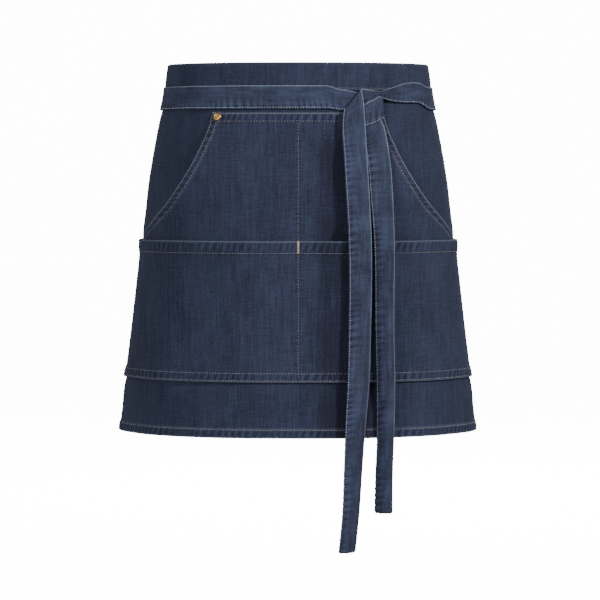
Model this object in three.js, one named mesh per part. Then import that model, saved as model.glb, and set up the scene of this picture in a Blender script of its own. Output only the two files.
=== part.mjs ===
// A short denim waist apron in its worn form, tied in front with a half-hitch whose two tails hang down.
// Millimetres, +Z up, the front faces -Y. The origin is the centre of the waist opening at the ties' mid-height.
import * as THREE from "three";
import { mergeVertices } from "three/addons/utils/BufferGeometryUtils.js";

const { clamp, degToRad, lerp, smoothstep } = THREE.MathUtils;

// Driving dimensions of the worn apron
const topEdgeHeight = 38; // top edge above the origin
const drop = 400; // top edge to hem
const waistHalfWidth = 140.5;
const waistHalfDepth = 103;
const hemHalfWidth = 195;
const hemHalfDepth = 152;
const sectionPower = 2.2; // 2 would be an ellipse, more is squarer

// Cloth
const cloth = 1.1; // one layer of denim
const clearance = 0.3; // between pieces that touch
const panelTopWidth = 610; // cloth width from side hem to side hem, at the top
const panelHemWidth = 760;
const waistbandHeight = 30;
const waistbandInnerHeight = 27;

// Pockets, measured down from the top edge
const upperPocketTop = 54;
const lowerPocketMouth = 191;
const pocketSeam = 341;
const pocketSideInset = 10; // from the panel's side hem
const upperPocketGape = 8; // how far the slanted edge stands off
const lowerPocketGape = 10.5;

// Ties
const tieWidth = 25;
const tieThickness = 1.4;
const tieHeight = 0.5; // the ties' mid-line round the waist
const tieSewnAngle = degToRad(14); // stretch sewn on the waistband's end
const tieCrossing = 15; // how far each tie moves up or down where they pass each other at the back
const layerPitch = 2.3; // between layers of cloth in the knot
const knotAcross = 0.522 * waistHalfWidth; // the knot's centre from the middle of the front
const leftTailLength = 482.5; // knot's centre to the tail's end
const rightTailLength = 441.5;
const tailLead = 13; // a tail stands off what lies this far above and below it

// Rivets
const rivetRadius = 4.6;
const rivetHeight = 1.7;
const rivetInset = 3.4; // centre below the pocket's top edge
const rivetFromEdge = 5.7; // centre to the corner of the opening

// Mesh density
const columnStep = degToRad(6);
const tailSteps = 20;
const knotSteps = 2;

// The body's flare: share of the drop, and share of the way from the waist's size to the hem's.
// The tie draws the cloth in at the waist, and the pockets' seam kicks out a little.
const flareRows = [
  { down: 0, flare: 0 },
  { down: 0.056, flare: 0.053 },
  { down: 0.111, flare: 0.112 },
  { down: 0.144, flare: 0.18 },
  { down: 0.199, flare: 0.264 },
  { down: 0.265, flare: 0.352 },
  { down: 0.331, flare: 0.427 },
  { down: 0.397, flare: 0.48 },
  { down: 0.452, flare: 0.528 },
  { down: 0.519, flare: 0.54 },
  { down: 0.596, flare: 0.6 },
  { down: 0.685, flare: 0.676 },
  { down: 0.774, flare: 0.757 },
  { down: 0.84, flare: 0.83 },
  { down: 0.872, flare: 0.892 },
  { down: 0.94, flare: 0.945 },
  { down: 1, flare: 1 },
];

// The slanted hand opening: share of the way from the pocket's top to the lower pocket's mouth,
// and how far across the edge is, as a share of the apron's half-width there.
const openingRows = [
  { down: 0, across: 0.61 },
  { down: 0.1, across: 0.622 },
  { down: 0.26, across: 0.663 },
  { down: 0.38, across: 0.702 },
  { down: 0.55, across: 0.771 },
  { down: 0.7, across: 0.846 },
  { down: 0.85, across: 0.936 },
  { down: 0.95, across: 0.982 },
  { down: 1, across: 0.992 },
];

// How the slanted edge stands off on its way down, as a share of its gape.
const upperGapeRows = [
  { down: 0, gape: 0 },
  { down: 0.08, gape: 0 },
  { down: 0.25, gape: 0.45 },
  { down: 0.45, gape: 1 },
  { down: 0.65, gape: 0.95 },
  { down: 0.85, gape: 0.3 },
  { down: 1, gape: 0.04 },
];

// How the lower pocket's mouth stands off, from the centre seam to the side hem, as shares.
const lowerGapeRows = [
  { round: 0, gape: 0 },
  { round: 0.045, gape: 0.3 },
  { round: 0.1, gape: 0.85 },
  { round: 0.15, gape: 1 },
  { round: 0.21, gape: 0.85 },
  { round: 0.33, gape: 0.4 },
  { round: 0.6, gape: 0.12 },
  { round: 0.75, gape: 0.06 },
  { round: 1, gape: 0 },
];

// The right tie near the knot: edge places across and up from the knot's centre, as shares of the tie's width,
// and the layer they lie in. It is pinched inside the other tie's loop, then folds down over it.
const rightKnotRows = [
  { upperAcross: 2.4, upperUp: 0.68, lowerAcross: 2.4, lowerUp: -0.21, layer: 0 },
  { upperAcross: 2.01, upperUp: 0.69, lowerAcross: 2.01, lowerUp: -0.2, layer: 0.1 },
  { upperAcross: 1.63, upperUp: 0.63, lowerAcross: 1.63, lowerUp: -0.2, layer: 0.3 },
  { upperAcross: 1.28, upperUp: 0.51, lowerAcross: 1.28, lowerUp: -0.17, layer: 0.8 },
  { upperAcross: 0.98, upperUp: 0.4, lowerAcross: 0.98, lowerUp: -0.12, layer: 1.4 },
  { upperAcross: 0.64, upperUp: 0.27, lowerAcross: 0.64, lowerUp: -0.03, layer: 1.9 },
  { upperAcross: 0.45, upperUp: 0.29, lowerAcross: 0.39, lowerUp: -0.13, layer: 1.9 },
  { upperAcross: 0.17, upperUp: 0.34, lowerAcross: -0.09, lowerUp: -0.36, layer: 1.5 },
  { upperAcross: -0.02, upperUp: 0.36, lowerAcross: -0.6, lowerUp: -0.53, layer: 1.3 },
  { upperAcross: -0.2, upperUp: 0.37, lowerAcross: -0.96, lowerUp: -0.56, layer: 2.2 },
  { upperAcross: -0.15, upperUp: 0.04, lowerAcross: -1.01, lowerUp: -0.68, layer: 3.3 },
  { upperAcross: -0.1, upperUp: -0.46, lowerAcross: -1.04, lowerUp: -0.96, layer: 3.6 },
  { upperAcross: -0.06, upperUp: -1.11, lowerAcross: -1.06, lowerUp: -1.37, layer: 3.7 },
  { upperAcross: -0.02, upperUp: -1.88, lowerAcross: -1.02, lowerUp: -1.97, layer: 3.7 },
];

// The left tie near the knot. It passes behind the right tie, folds to the front as the wrap,
// goes back under itself and leaves as the right tail.
const leftKnotRows = [
  { upperAcross: -1.24, upperUp: 0.37, lowerAcross: -1.24, lowerUp: -0.54, layer: 0.15 },
  { upperAcross: -0.9, upperUp: 0.33, lowerAcross: -0.9, lowerUp: -0.54, layer: 0.15 },
  { upperAcross: -0.47, upperUp: 0.24, lowerAcross: -0.47, lowerUp: -0.56, layer: 0.15 },
  { upperAcross: 0, upperUp: 0.11, lowerAcross: -0.04, lowerUp: -0.66, layer: 0.3 },
  { upperAcross: 0.43, upperUp: -0.08, lowerAcross: 0.36, lowerUp: -0.81, layer: 1 },
  { upperAcross: 0.71, upperUp: -0.18, lowerAcross: 0.72, lowerUp: -0.89, layer: 2 },
  { upperAcross: 0.58, upperUp: 0.06, lowerAcross: 0.66, lowerUp: -0.92, layer: 3 },
  { upperAcross: 0.3, upperUp: -0.07, lowerAcross: 0.45, lowerUp: -1.06, layer: 2.9 },
  { upperAcross: -0.03, upperUp: -0.24, lowerAcross: 0, lowerUp: -1.22, layer: 2.5 },
  { upperAcross: -0.34, upperUp: -0.45, lowerAcross: -0.36, lowerUp: -1.31, layer: 2.3 },
  { upperAcross: -0.58, upperUp: -0.64, lowerAcross: -0.62, lowerUp: -1.26, layer: 1.8 },
  { upperAcross: -0.3, upperUp: -0.81, lowerAcross: -0.62, lowerUp: -1.4, layer: 1.2 },
  { upperAcross: 0.21, upperUp: -0.94, lowerAcross: -0.47, lowerUp: -1.56, layer: 1.2 },
  { upperAcross: 0.62, upperUp: -1.18, lowerAcross: -0.26, lowerUp: -1.75, layer: 1.3 },
  { upperAcross: 0.86, upperUp: -1.67, lowerAcross: -0.11, lowerUp: -1.97, layer: 1.6 },
];

// The tails: share of the tail's length, then shares of the tie's width: the middle's place across,
// the width seen from the front, and how far the middle bows forward.
const leftTailRows = [
  { down: 0.12, across: -0.49, span: 1, bow: 0 },
  { down: 0.163, across: -0.45, span: 1, bow: 0 },
  { down: 0.24, across: -0.36, span: 1, bow: 0 },
  { down: 0.314, across: -0.3, span: 0.99, bow: 0.05 },
  { down: 0.51, across: -0.31, span: 0.95, bow: 0.1 },
  { down: 0.633, across: -0.38, span: 0.92, bow: 0.14 },
  { down: 0.724, across: -0.5, span: 0.86, bow: 0.18 },
  { down: 0.839, across: -0.62, span: 0.78, bow: 0.22 },
  { down: 0.909, across: -0.69, span: 0.74, bow: 0.24 },
  { down: 1, across: -0.86, span: 0.73, bow: 0.24 },
];
const rightTailRows = [
  { down: 0.128, across: 0.44, span: 1, bow: 0 },
  { down: 0.149, across: 0.5, span: 1, bow: 0 },
  { down: 0.225, across: 0.61, span: 0.98, bow: 0.05 },
  { down: 0.322, across: 0.72, span: 0.88, bow: 0.14 },
  { down: 0.558, across: 0.76, span: 0.77, bow: 0.2 },
  { down: 0.692, across: 0.8, span: 0.76, bow: 0.22 },
  { down: 0.792, across: 0.79, span: 0.72, bow: 0.24 },
  { down: 0.937, across: 0.71, span: 0.74, bow: 0.24 },
  { down: 1, across: 0.7, span: 0.76, bow: 0.24 },
];

// How far across both tails reach, as shares of the tie's width from the knot's centre.
const tailReach = [-1, -0.4, 0.2, 0.7, 1.2];

// The rivet's head from its middle underneath, over the rim to the dimple: shares of its radius and height.
const rivetRows = [
  { across: 0, up: 0 },
  { across: 1, up: 0 },
  { across: 1, up: 0.35 },
  { across: 0.82, up: 0.85 },
  { across: 0.6, up: 1 },
  { across: 0.36, up: 0.92 },
  { across: 0.22, up: 0.6 },
  { across: 0, up: 0.52 },
];

const denim = (name, color) => new THREE.MeshStandardMaterial({ name, color, roughness: 0.85, metalness: 0 });
const copper = (name) => new THREE.MeshStandardMaterial({ name, color: 0xb98a52, roughness: 0.35, metalness: 1 });

// The value in column `wanted` at place `at` of column `by`, straight between rows.
function fromRows(rows, by, at, wanted) {
  const last = rows.length - 1;
  if (at <= rows[0][by]) return rows[0][wanted];
  if (at >= rows[last][by]) return rows[last][wanted];
  const next = rows.findIndex((row) => row[by] > at);
  const [a, b] = [rows[next - 1], rows[next]];
  return lerp(a[wanted], b[wanted], (at - a[by]) / (b[by] - a[by]));
}

const downAt = (z) => (topEdgeHeight - z) / drop;
const heightAt = (down) => topEdgeHeight - down;

// Half-width and half-depth of the body at height z.
function bodySize(z) {
  const flare = fromRows(flareRows, "down", downAt(z), "flare");
  return {
    width: lerp(waistHalfWidth, hemHalfWidth, flare),
    depth: lerp(waistHalfDepth, hemHalfDepth, flare),
  };
}

const power = (value, exponent) => Math.sign(value) * Math.abs(value) ** exponent;

// A point on the body: angle from the front's middle towards the viewer's right, height, and distance out.
function onBody(angle, z, out = 0) {
  const { width, depth } = bodySize(z);
  const [s, c] = [Math.sin(angle), Math.cos(angle)];
  const steep = (2 * (sectionPower - 1)) / sectionPower;
  const normal = new THREE.Vector3(power(s, steep) / width, -power(c, steep) / depth, 0).normalize();
  const x = width * power(s, 2 / sectionPower);
  const y = -depth * power(c, 2 / sectionPower);
  return new THREE.Vector3(x, y, z).addScaledVector(normal, out);
}

// The angle at which a point of the front, lifted by out, has the given x.
function angleAcross(x, z, out = 0) {
  const { width } = bodySize(z);
  let onSurface = x;
  let angle = 0;
  for (let round = 0; round < 5; round++) {
    angle = Math.asin(power(clamp(onSurface / width, -1, 1), sectionPower / 2));
    onSurface += x - onBody(angle, z, out).x;
  }
  return angle;
}

// The angle at the given length of cloth from the front's middle.
function angleAlong(length, z) {
  const steps = 180;
  let [walked, here] = [0, onBody(0, z)];
  for (let i = 1; i <= steps; i++) {
    const next = onBody((Math.PI * i) / steps, z);
    const step = here.distanceTo(next);
    if (walked + step >= length) return (Math.PI * (i - 1 + (length - walked) / step)) / steps;
    walked += step;
    here = next;
  }
  return Math.PI;
}

const panelEdge = (z) => angleAlong(lerp(panelTopWidth, panelHemWidth, downAt(z)) / 2, z);
const pocketEdge = (z) => angleAlong(lerp(panelTopWidth, panelHemWidth, downAt(z)) / 2 - pocketSideInset, z);
const mouthHeight = heightAt(lowerPocketMouth);
const openingDown = (z) => (topEdgeHeight - z - upperPocketTop) / (lowerPocketMouth - upperPocketTop);

// Each sheet's inner face, as a distance out from the body.
const panelLift = () => 0;
function upperPocketLift(angle, z) {
  const edge = openingEdge(z);
  const stand = upperPocketGape * fromRows(upperGapeRows, "down", openingDown(z), "gape");
  return cloth + clearance + stand * smoothstep(Math.abs(angle) / edge, 0.1, 0.8);
}
function lowerPocketLift(angle, z) {
  const shut = clamp((topEdgeHeight - z - lowerPocketMouth) / (pocketSeam - lowerPocketMouth), 0, 1);
  const stand = fromRows(lowerGapeRows, "round", Math.abs(angle) / pocketEdge(z), "gape");
  const under = z > mouthHeight ? upperPocketLift(angle, mouthHeight) : upperPocketLift(angle, z);
  return under + cloth + clearance + lowerPocketGape * stand * (1 - shut);
}

// The opening's edge as an angle, so that the lifted edge is seen at its share of the half-width.
// Behind the lower pocket it runs straight down.
function openingEdge(z) {
  const height = Math.max(z, mouthHeight);
  const down = openingDown(height);
  const stand = upperPocketGape * fromRows(upperGapeRows, "down", down, "gape");
  const across = fromRows(openingRows, "down", down, "across");
  return angleAcross(across * bodySize(height).width, height, cloth + clearance + stand);
}

// A closed mesh from corner points and quads, with shared corners merged and collapsed faces dropped.
function closedMesh(points, triangles) {
  const geometry = new THREE.BufferGeometry().setFromPoints(points);
  geometry.setIndex(triangles.flat());
  const merged = mergeVertices(geometry, 1e-3);
  const index = merged.index.array;
  const kept = [];
  for (let i = 0; i < index.length; i += 3) {
    const [a, b, c] = index.slice(i, i + 3);
    if (a !== b && b !== c && c !== a) kept.push(a, b, c);
  }
  merged.setIndex(kept);
  merged.computeVertexNormals();
  return merged;
}

// A sheet of cloth round the body: row heights, the edge's angle at a height and the inner face's distance out.
function sheet(rows, edgeAt, liftAt) {
  const most = Math.ceil(Math.max(...rows.map(edgeAt)) / columnStep);
  const columns = Array.from({ length: 2 * most + 1 }, (_, i) => (i - most) * columnStep);
  const points = [];
  for (const z of rows)
    for (const column of columns) {
      const edge = edgeAt(z);
      const angle = clamp(column, -edge, edge);
      const lift = liftAt(angle, z);
      points.push(onBody(angle, z, lift), onBody(angle, z, lift + cloth));
    }
  const inner = (i, j) => 2 * (j * columns.length + i);
  const outer = (i, j) => inner(i, j) + 1;
  const triangles = [];
  const quad = (a, b, c, d) => triangles.push([a, b, c], [a, c, d]);
  const [lastColumn, lastRow] = [columns.length - 1, rows.length - 1];
  for (let j = 0; j < lastRow; j++)
    for (let i = 0; i < lastColumn; i++) {
      quad(outer(i, j), outer(i, j + 1), outer(i + 1, j + 1), outer(i + 1, j));
      quad(inner(i, j), inner(i + 1, j), inner(i + 1, j + 1), inner(i, j + 1));
    }
  for (let i = 0; i < lastColumn; i++) {
    quad(outer(i, 0), outer(i + 1, 0), inner(i + 1, 0), inner(i, 0));
    quad(outer(i, lastRow), inner(i, lastRow), inner(i + 1, lastRow), outer(i + 1, lastRow));
  }
  for (let j = 0; j < lastRow; j++) {
    quad(inner(0, j), inner(0, j + 1), outer(0, j + 1), outer(0, j));
    quad(outer(lastColumn, j), outer(lastColumn, j + 1), inner(lastColumn, j + 1), inner(lastColumn, j));
  }
  return closedMesh(points, triangles);
}

// A run of equal sections joined one after another and capped, with the caps cut up by a flat outline.
function loft(sections, outline) {
  const count = outline.length;
  const caps = THREE.ShapeUtils.triangulateShape(outline, []).map((face) => {
    const turn = THREE.ShapeUtils.area(face.map((k) => outline[k]));
    return turn > 0 ? face : [...face].reverse();
  });
  const triangles = [];
  for (let s = 0; s + 1 < sections.length; s++)
    for (let k = 0; k < count; k++) {
      const [a, b] = [s * count + k, s * count + ((k + 1) % count)];
      triangles.push([a, b, b + count], [a, b + count, a + count]);
    }
  const end = (sections.length - 1) * count;
  for (const [a, b, c] of caps) triangles.push([c, b, a], [end + a, end + b, end + c]);
  return closedMesh(sections.flat(), triangles);
}

function named(name, geometry, material) {
  const mesh = new THREE.Mesh(geometry, material);
  mesh.name = name;
  return mesh;
}

// Row heights of the body's table between two heights, with both ends.
function rowHeights(top, bottom) {
  const rows = flareRows.map((row) => heightAt(row.down * drop));
  return [top, ...rows.filter((z) => z < top - 2 && z > bottom + 2), bottom];
}

function mainPanel() {
  const rows = rowHeights(topEdgeHeight - cloth - clearance, heightAt(drop));
  return named("main_panel", sheet(rows, panelEdge, panelLift), denim("denim_panel", 0x2f3a57));
}

function upperPocket() {
  const top = heightAt(upperPocketTop);
  const opening = openingRows.map((row) => lerp(top, mouthHeight, row.down));
  const below = rowHeights(mouthHeight, heightAt(pocketSeam)).slice(1);
  const rows = [...opening, ...below];
  return named("upper_pocket", sheet(rows, openingEdge, upperPocketLift), denim("denim_upper", 0x333e5c));
}

function lowerPocket() {
  const rows = rowHeights(mouthHeight, heightAt(pocketSeam));
  return named("lower_pocket", sheet(rows, pocketEdge, lowerPocketLift), denim("denim_lower", 0x35405f));
}

// The waistband is folded over the panel's top edge: an upside-down U all the way along.
function waistband() {
  const outerLift = 2 * cloth + clearance;
  const [bottom, innerBottom] = [topEdgeHeight - waistbandHeight, topEdgeHeight - waistbandInnerHeight];
  const fold = topEdgeHeight - cloth;
  const profile = [
    { z: bottom, out: cloth + clearance },
    { z: fold, out: cloth + clearance },
    { z: fold, out: -clearance },
    { z: innerBottom, out: -clearance },
    { z: innerBottom, out: -clearance - cloth },
    { z: topEdgeHeight, out: -clearance - cloth },
    { z: topEdgeHeight, out: outerLift },
    { z: bottom, out: outerLift },
  ];
  const outline = profile.map((corner) => new THREE.Vector2(corner.z, corner.out));
  const order = THREE.ShapeUtils.area(outline) > 0 ? profile : [...profile].reverse();
  const edge = panelEdge(bottom);
  const most = Math.ceil(edge / columnStep);
  const sections = [];
  for (let i = -most; i <= most; i++) {
    const angle = clamp(i * columnStep, -edge, edge);
    sections.push(order.map((corner) => onBody(angle, corner.z, corner.out)));
  }
  const flat = order.map((corner) => new THREE.Vector2(corner.z, corner.out));
  return named("waistband", loft(sections, flat), denim("denim_band", 0x303b58));
}

// How far out the middle of a tie lies in a given layer over the waistband.
const tieBase = 2 * cloth + 2 * clearance + tieThickness / 2;
const layerOut = (layer) => tieBase + layer * layerPitch;

// A stretch of tie round the waist, at the shared columns. Progress over the back gap lifts or lowers it
// and moves it from one layer to the other.
function roundTheWaist(from, to, side) {
  const gapStart = panelEdge(tieHeight);
  const gapEnd = 2 * Math.PI - gapStart;
  const stations = [];
  const angles = [from];
  for (let k = Math.ceil(from / columnStep + 0.2); k * columnStep < to - 0.01; k++)
    angles.push(k * columnStep);
  for (const angle of angles) {
    const share = clamp((angle - gapStart) / (gapEnd - gapStart), 0, 1);
    const apart = smoothstep(share, 0.04, 0.34) * (1 - smoothstep(share, 0.66, 0.96));
    const settled = smoothstep(angle, gapEnd + tieSewnAngle, gapEnd + 3 * tieSewnAngle);
    const over = smoothstep(share, 0.34, 0.66) * (1 - settled);
    const middle = tieHeight + side * tieCrossing * apart;
    const out = layerOut(over);
    const at = (z) => onBody(side * angle, z, out);
    stations.push({ upper: at(middle + tieWidth / 2), middle: at(middle), lower: at(middle - tieWidth / 2) });
  }
  return stations;
}

// The knot's stretch of a tie: a smooth curve along each edge through its rows.
function throughKnot(rows) {
  const place = (across, up, layer) => {
    const [x, z] = [knotAcross + across * tieWidth, up * tieWidth];
    return onBody(angleAcross(x, z), z, layerOut(layer));
  };
  const smooth = (points) => new THREE.CatmullRomCurve3(points, false, "centripetal");
  const upperCurve = smooth(rows.map((row) => place(row.upperAcross, row.upperUp, row.layer)));
  const lowerCurve = smooth(rows.map((row) => place(row.lowerAcross, row.lowerUp, row.layer)));
  const steps = (rows.length - 1) * knotSteps;
  return Array.from({ length: steps + 1 }, (_, i) => {
    const [a, b] = [upperCurve.getPoint(i / steps), lowerCurve.getPoint(i / steps)];
    return { upper: a, middle: a.clone().lerp(b, 0.5), lower: b };
  });
}

// The outermost cloth's outer face at a place on the front.
function outerFace(angle, z) {
  const reach = 8;
  const down = topEdgeHeight - z;
  if (down < upperPocketTop - reach) return 2 * cloth + clearance;
  if (down < lowerPocketMouth - reach) return upperPocketLift(angle, Math.min(z, heightAt(upperPocketTop))) + cloth;
  if (down < pocketSeam + reach) return lowerPocketLift(angle, z) + cloth;
  return cloth;
}

// A tail lies on the skirt and hangs straight below the hem. What the front view doesn't see of its width
// is bowed forward or turned away: `turned` is 1 where the right edge stands forward and -1 for the left one.
function tail(rows, length, turned, under) {
  const stations = [];
  for (let i = 0; i <= tailSteps; i++) {
    const down = lerp(rows[0].down, 1, i / tailSteps);
    const z = -down * length;
    const [across, span, bow] = ["across", "span", "bow"].map((column) => fromRows(rows, "down", down, column));
    const chord = 1 - (8 / 3) * bow ** 2;
    const depth = Math.sqrt(Math.max(chord ** 2 - span ** 2, 0)) * tieWidth;
    const middleX = knotAcross + across * tieWidth;
    const edges = [middleX - (span * tieWidth) / 2, middleX + (span * tieWidth) / 2];
    const onSkirt = Math.max(z - tailLead, heightAt(drop));
    const near = [z - tailLead, z, z + tailLead].map((height) => Math.max(height, heightAt(drop)));
    const places = tailReach.map((reach) => knotAcross + reach * tieWidth);
    const faces = near.flatMap((height) => places.map((x) => outerFace(angleAcross(x, height), height)));
    const base = Math.max(...faces) + clearance + tieThickness / 2 + under(down);
    const at = (x, out) => {
      const point = onBody(angleAcross(x, onSkirt), onSkirt, out);
      return point.setZ(z);
    };
    const left = at(edges[0], base + (turned < 0 ? depth : 0));
    const right = at(edges[1], base + (turned > 0 ? depth : 0));
    const middle = at(middleX, base + depth / 2 + bow * tieWidth);
    stations.push({ upper: right, middle, lower: left });
  }
  return stations;
}

// A tie of even thickness through its stations, from the sewn end to the free one.
function tieStrip(stations) {
  const sections = stations.map((station, i) => {
    const before = stations[Math.max(i - 1, 0)].middle;
    const after = stations[Math.min(i + 1, stations.length - 1)].middle;
    const along = after.clone().sub(before);
    const width = station.upper.clone().sub(station.lower);
    const face = along.cross(width).setLength(tieThickness / 2);
    const across = [station.lower, station.middle, station.upper];
    const inner = across.map((point) => point.clone().sub(face));
    const outer = across.map((point) => point.clone().add(face));
    return [...inner, ...outer.reverse()];
  });
  const inner = [0, 1, 2].map((x) => new THREE.Vector2(x, -1));
  const outer = [2, 1, 0].map((x) => new THREE.Vector2(x, 1));
  return loft(sections, [...inner, ...outer]);
}

// Where a knot row lies round the waist, as an angle.
const rowAngle = (row) => angleAcross(knotAcross + row.upperAcross * tieWidth, tieHeight);

// The left tie is sewn to the waistband's right end, crosses the back and comes round the left side.
function leftTie() {
  const start = panelEdge(tieHeight) - tieSewnAngle;
  const finish = 2 * Math.PI + rowAngle(leftKnotRows[0]) - columnStep / 2;
  const round = roundTheWaist(start, finish, 1);
  const knot = throughKnot(leftKnotRows);
  const hanging = tail(rightTailRows, rightTailLength, 1, () => 0);
  return named("tie_left", tieStrip([...round, ...knot, ...hanging]), denim("denim_tie_left", 0x3c4868));
}

// The right tie is sewn to the waistband's left end and comes round the right side.
function rightTie() {
  const start = panelEdge(tieHeight) - tieSewnAngle;
  const finish = 2 * Math.PI - rowAngle(rightKnotRows[0]) - columnStep / 2;
  const round = roundTheWaist(start, finish, -1);
  const knot = throughKnot(rightKnotRows);
  const overTail = (down) => (layerPitch + 2 * clearance) * (1 - smoothstep(down, 0.33, 0.45));
  const hanging = tail(leftTailRows, leftTailLength, -1, overTail);
  return named("tie_right", tieStrip([...round, ...knot, ...hanging]), denim("denim_tie_right", 0x3c4868));
}

// A domed rivet with a dimple, pressed on the upper pocket's corner.
function rivet(name, side) {
  const z = heightAt(upperPocketTop + rivetInset);
  const angle = openingEdge(z) - rivetFromEdge / bodySize(z).width;
  const onPocket = (turn, height) => onBody(side * turn, height, upperPocketLift(turn, height) + cloth);
  const reach = rivetRadius / bodySize(z).width;
  const across = onPocket(angle + reach, z).sub(onPocket(angle - reach, z)).multiplyScalar(side);
  const up = onPocket(angle, z + rivetRadius / 2).sub(onPocket(angle, z - rivetRadius));
  const outward = across.cross(up).normalize();
  const seat = onPocket(angle, z).addScaledVector(outward, 2 * clearance);
  const profile = rivetRows.map((row) => new THREE.Vector2(row.across * rivetRadius, row.up * rivetHeight));
  const mesh = named(name, new THREE.LatheGeometry(profile, 20), copper(name + "_metal"));
  mesh.position.copy(seat);
  mesh.quaternion.setFromUnitVectors(new THREE.Vector3(0, 1, 0), outward);
  return mesh;
}

const apron = new THREE.Group();
apron.add(mainPanel(), waistband(), upperPocket(), lowerPocket(), leftTie(), rightTie());
apron.add(rivet("rivet_left", -1), rivet("rivet_right", 1));

export default apron;
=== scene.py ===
import math

import bmesh
import bpy
import numpy as np
from mathutils import Matrix, Vector


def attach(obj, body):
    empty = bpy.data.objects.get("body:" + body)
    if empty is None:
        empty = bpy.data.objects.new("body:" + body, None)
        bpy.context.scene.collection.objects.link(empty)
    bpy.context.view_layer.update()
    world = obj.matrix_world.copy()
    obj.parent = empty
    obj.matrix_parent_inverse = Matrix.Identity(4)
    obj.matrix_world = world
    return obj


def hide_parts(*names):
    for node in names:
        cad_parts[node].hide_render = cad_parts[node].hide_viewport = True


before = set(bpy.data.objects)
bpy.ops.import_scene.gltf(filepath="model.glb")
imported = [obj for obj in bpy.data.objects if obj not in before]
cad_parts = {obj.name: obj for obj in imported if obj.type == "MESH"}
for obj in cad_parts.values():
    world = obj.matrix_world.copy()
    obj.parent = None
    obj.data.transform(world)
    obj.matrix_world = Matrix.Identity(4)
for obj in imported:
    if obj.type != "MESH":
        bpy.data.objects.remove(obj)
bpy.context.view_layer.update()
scene = bpy.context.scene

# The studio: a long lens straight in front of the apron, a soft key light from the upper right, a broad fill
# from the left, a light from behind, and a round backdrop that runs on into the floor. It glows near white,
# but only the camera sees it: it puts no light on the cloth.
eye = Vector((0.0022, -3.745, -0.077))
aim = Vector((0.0022, -0.145, -0.215))
camera = bpy.data.objects.new("camera", bpy.data.cameras.new("camera"))
scene.collection.objects.link(camera)
camera.location = eye
camera.rotation_euler = (aim - eye).to_track_quat("-Z", "Y").to_euler()
camera.data.sensor_width = 36
camera.data.lens = 204
camera.data.clip_start = 0.05
camera.data.clip_end = 60
scene.camera = camera


def soft_light(name, place, target, size, watts):
    lamp = bpy.data.lights.new(name, "AREA")
    lamp.shape = "DISK"
    lamp.size = size
    lamp.energy = watts
    lamp.color = (1, 0.985, 0.96)
    holder = bpy.data.objects.new(name, lamp)
    holder.location = place
    holder.rotation_euler = (Vector(target) - Vector(place)).to_track_quat("-Z", "Y").to_euler()
    scene.collection.objects.link(holder)


soft_light("key_light", (2.2, -2.05, 1.2), (0, -0.1, -0.2), 0.45, 97)
soft_light("fill_light", (-1.7, -3.0, 0.7), (0, -0.1, -0.2), 1.6, 66)
soft_light("rear_light", (0.2, 2.6, 1.3), (0, 0, -0.2), 1.4, 150)

studio = bpy.data.worlds.new("studio")
scene.world = studio
studio.use_nodes = True
studio.node_tree.nodes["Background"].inputs["Color"].default_value = (0.95, 0.97, 1, 1)
studio.node_tree.nodes["Background"].inputs["Strength"].default_value = 0.27


def object_from(bm, name):
    """A smooth object in the scene from a finished bmesh, which is freed."""
    made = bpy.data.objects.new(name, bpy.data.meshes.new(name))
    bm.to_mesh(made.data)
    bm.free()
    made.data.shade_smooth()
    scene.collection.objects.link(made)
    return made


FLOOR = -0.62
FLAT = 6
SWEEP = 2.2
bends = [math.pi / 2 * k / 12 for k in range(13)]
bm = bmesh.new()
curve = [(0, FLOOR)] + [(FLAT + SWEEP * math.sin(t), FLOOR + SWEEP * (1 - math.cos(t))) for t in bends]
curve.append((FLAT + SWEEP, 9))
profile = [bm.verts.new((reach, 0, height)) for reach, height in curve]
edges = [bm.edges.new(pair) for pair in zip(profile, profile[1:])]
bmesh.ops.spin(
    bm, geom=profile + edges, axis=(0, 0, 1), cent=(0, 0, 0), steps=64, angle=2 * math.pi, use_merge=True,
)
bmesh.ops.remove_doubles(bm, verts=bm.verts, dist=1e-5)
bmesh.ops.recalc_face_normals(bm, faces=bm.faces)
bmesh.ops.reverse_faces(bm, faces=bm.faces)
backdrop = object_from(bm, "backdrop")
paper = bpy.data.materials.new("backdrop_paper")
paper.use_nodes = True
paper_shader = paper.node_tree.nodes["Principled BSDF"]
paper_shader.inputs["Base Color"].default_value = (0.92, 0.92, 0.92, 1)
paper_shader.inputs["Roughness"].default_value = 0.9
paper_shader.inputs["Emission Color"].default_value = (1, 1, 1, 1)
paper_shader.inputs["Emission Strength"].default_value = 14
backdrop.data.materials.append(paper)
backdrop.visible_diffuse = False
backdrop.visible_glossy = False
backdrop.visible_shadow = False

# The main panel: one layer of dark indigo denim, cut wider towards the hem and worn round the front and the
# sides. Its hem and both side edges are folded once to the inside and stitched down.
TOP = 0.038
DROP = 0.4
CLOTH = 0.0011
GAP = 0.0003
FOLD = 0.0009
PANEL_TOP, PANEL_HEM = 0.61, 0.76
SQUARENESS = 2.2
WAIST_HALF_WIDTH, WAIST_HALF_DEPTH = 0.1405, 0.103
WIDTH_FLARE, DEPTH_FLARE = 0.0545, 0.049
FLARE = [
    (0, 0), (0.056, 0.053), (0.111, 0.112), (0.144, 0.18), (0.199, 0.264), (0.265, 0.352),
    (0.331, 0.427), (0.397, 0.48), (0.452, 0.528), (0.519, 0.54), (0.596, 0.6), (0.685, 0.676),
    (0.774, 0.757), (0.84, 0.83), (0.872, 0.892), (0.94, 0.945), (1, 1),
]


smooth_tables = {}


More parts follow.
